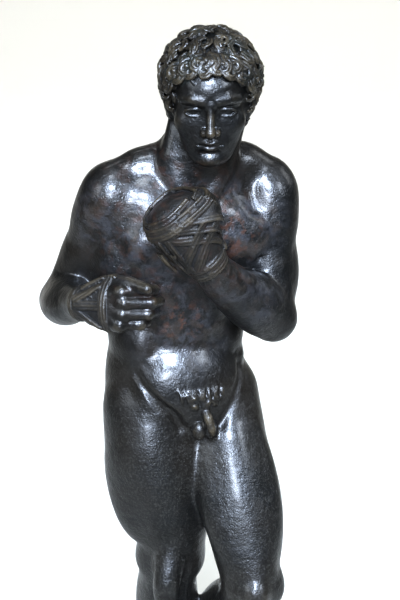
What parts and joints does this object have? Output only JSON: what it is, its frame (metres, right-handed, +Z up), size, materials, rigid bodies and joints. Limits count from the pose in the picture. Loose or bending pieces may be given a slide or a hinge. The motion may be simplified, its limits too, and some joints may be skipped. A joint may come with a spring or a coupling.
{
  "type": "boxer statuette",
  "caption": "Small bronze statuette of a standing nude boxer with strap-wrapped hands, on a low rectangular plinth.",
  "frame": {"origin": "middle of the plinth's underside", "axes": "+Z up, the figure faces -Y, +X is the figure's left"},
  "size_m": [0.0838, 0.1, 0.2678],
  "materials": {
    "dark_bronze": "near-black patinated cast bronze, glossy on the high places",
    "plinth_bronze": "dark patinated cast bronze, satin"
  },
  "bodies": {
    "root": {"figure": "dark_bronze", "base": "plinth_bronze"}
  },
  "joints": []
}
